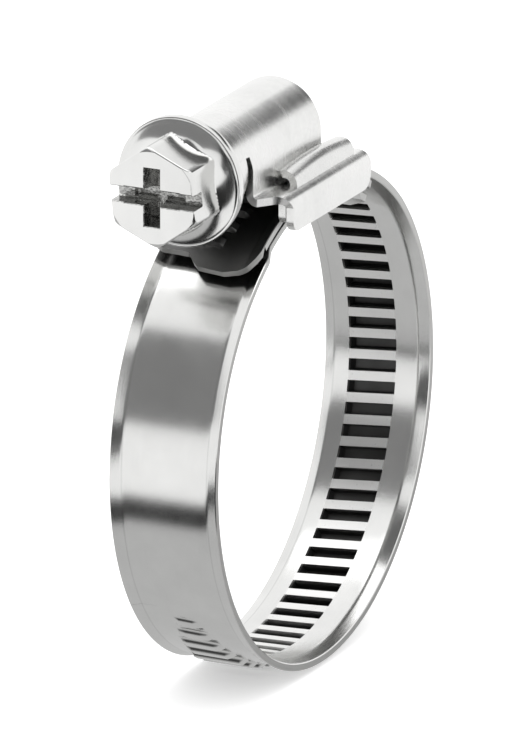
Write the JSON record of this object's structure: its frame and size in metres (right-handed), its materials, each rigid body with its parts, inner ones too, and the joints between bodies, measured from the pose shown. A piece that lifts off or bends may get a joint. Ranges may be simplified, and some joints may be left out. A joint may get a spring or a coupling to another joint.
{
  "type": "worm-drive hose clamp",
  "caption": "Worm-drive hose clamp with a pressed housing, hex-head screw and a ring-shaped band with pressed thread ridges that tightens as the screw turns.",
  "frame": {"origin": "centre of the ring, where the hose's middle goes", "axes": "+Y along the hose, +Z through the housing on top, +X along the screw away from its head"},
  "size_m": [0.0399, 0.0114, 0.0475],
  "materials": {
    "band_steel": "bright cold-rolled stainless strip, rolling grain along the band",
    "housing_steel": "satin pressed stainless sheet",
    "screw_steel": "bright formed steel"
  },
  "bodies": {
    "housing": {"housing": "housing_steel", "band_fixed_end": "band_steel"},
    "screw": {"screw": "screw_steel"},
    "band_link_1": {"band_link_1": "band_steel"},
    "band_link_2": {"band_link_2": "band_steel"},
    "band_link_3": {"band_link_3": "band_steel"},
    "band_link_4": {"band_link_4": "band_steel"},
    "band_free_end": {"band_free_end": "band_steel"}
  },
  "joints": [
    {"name": "screw_turn", "type": "hinge", "parent": "housing", "child": "screw", "pos_m": [-0.0145, 0.0003, 0.02325], "axis": [1, 0, 0], "range_deg": [-360, 1440]},
    {"name": "band_bend_1", "type": "hinge", "parent": "housing", "child": "band_link_1", "pos_m": [-0.01294, 0, 0.01294], "axis": [0, -1, 0], "range_deg": [-1.4, 5.4]},
    {"name": "band_bend_2", "type": "hinge", "parent": "band_link_1", "child": "band_link_2", "pos_m": [-0.01703, 0, -0.00671], "axis": [0, -1, 0], "range_deg": [-1.4, 5.4]},
    {"name": "band_bend_3", "type": "hinge", "parent": "band_link_2", "child": "band_link_3", "pos_m": [-0.00064, 0, -0.01829], "axis": [0, -1, 0], "range_deg": [-1.4, 5.4]},
    {"name": "band_bend_4", "type": "hinge", "parent": "band_link_3", "child": "band_link_4", "pos_m": [0.0175, 0, -0.00688], "axis": [0, -1, 0], "range_deg": [-1.4, 5.4]},
    {"name": "band_bend_5", "type": "hinge", "parent": "band_link_4", "child": "band_free_end", "pos_m": [0.01361, 0, 0.01418], "axis": [0, -1, 0], "range_deg": [-1.4, 5.4]}
  ],
  "couplings": [
    {"joint": "band_bend_1", "follows": "screw_turn", "ratio": 0.0028146},
    {"joint": "band_bend_2", "follows": "screw_turn", "ratio": 0.0028046},
    {"joint": "band_bend_3", "follows": "screw_turn", "ratio": 0.0028681},
    {"joint": "band_bend_4", "follows": "screw_turn", "ratio": 0.0027971},
    {"joint": "band_bend_5", "follows": "screw_turn", "ratio": 0.0027667}
  ]
}
